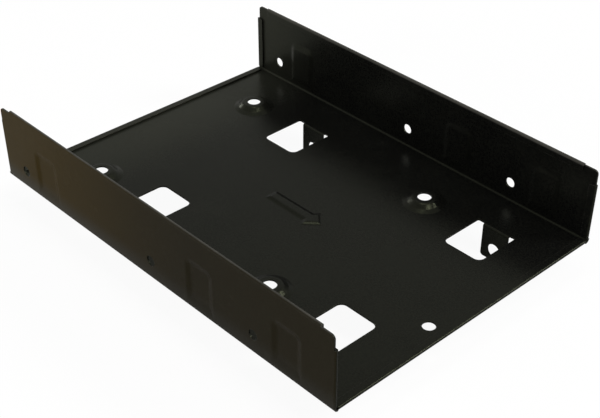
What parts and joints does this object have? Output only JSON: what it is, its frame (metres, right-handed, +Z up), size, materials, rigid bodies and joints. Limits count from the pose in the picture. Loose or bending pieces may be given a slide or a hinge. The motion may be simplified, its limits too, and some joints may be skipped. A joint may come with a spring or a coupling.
{
  "type": "drive bay adapter bracket",
  "caption": "Folded sheet steel tray that holds small disk drives above and below its floor inside a larger drive bay.",
  "frame": {"origin": "on the plane that the tabs' lower ends stand on, below the middle of the tray's outline", "axes": "+X along the tray towards the end with the plain hole, the way the raised arrow points; +Y across to the far wall; +Z up from the tabs to the walls' hemmed edges"},
  "size_m": [0.1414, 0.1016, 0.0349],
  "materials": {
    "black_paint": "semi-gloss black paint on sheet steel"
  },
  "bodies": {
    "root": {"adapter_bracket": "black_paint"}
  },
  "joints": []
}
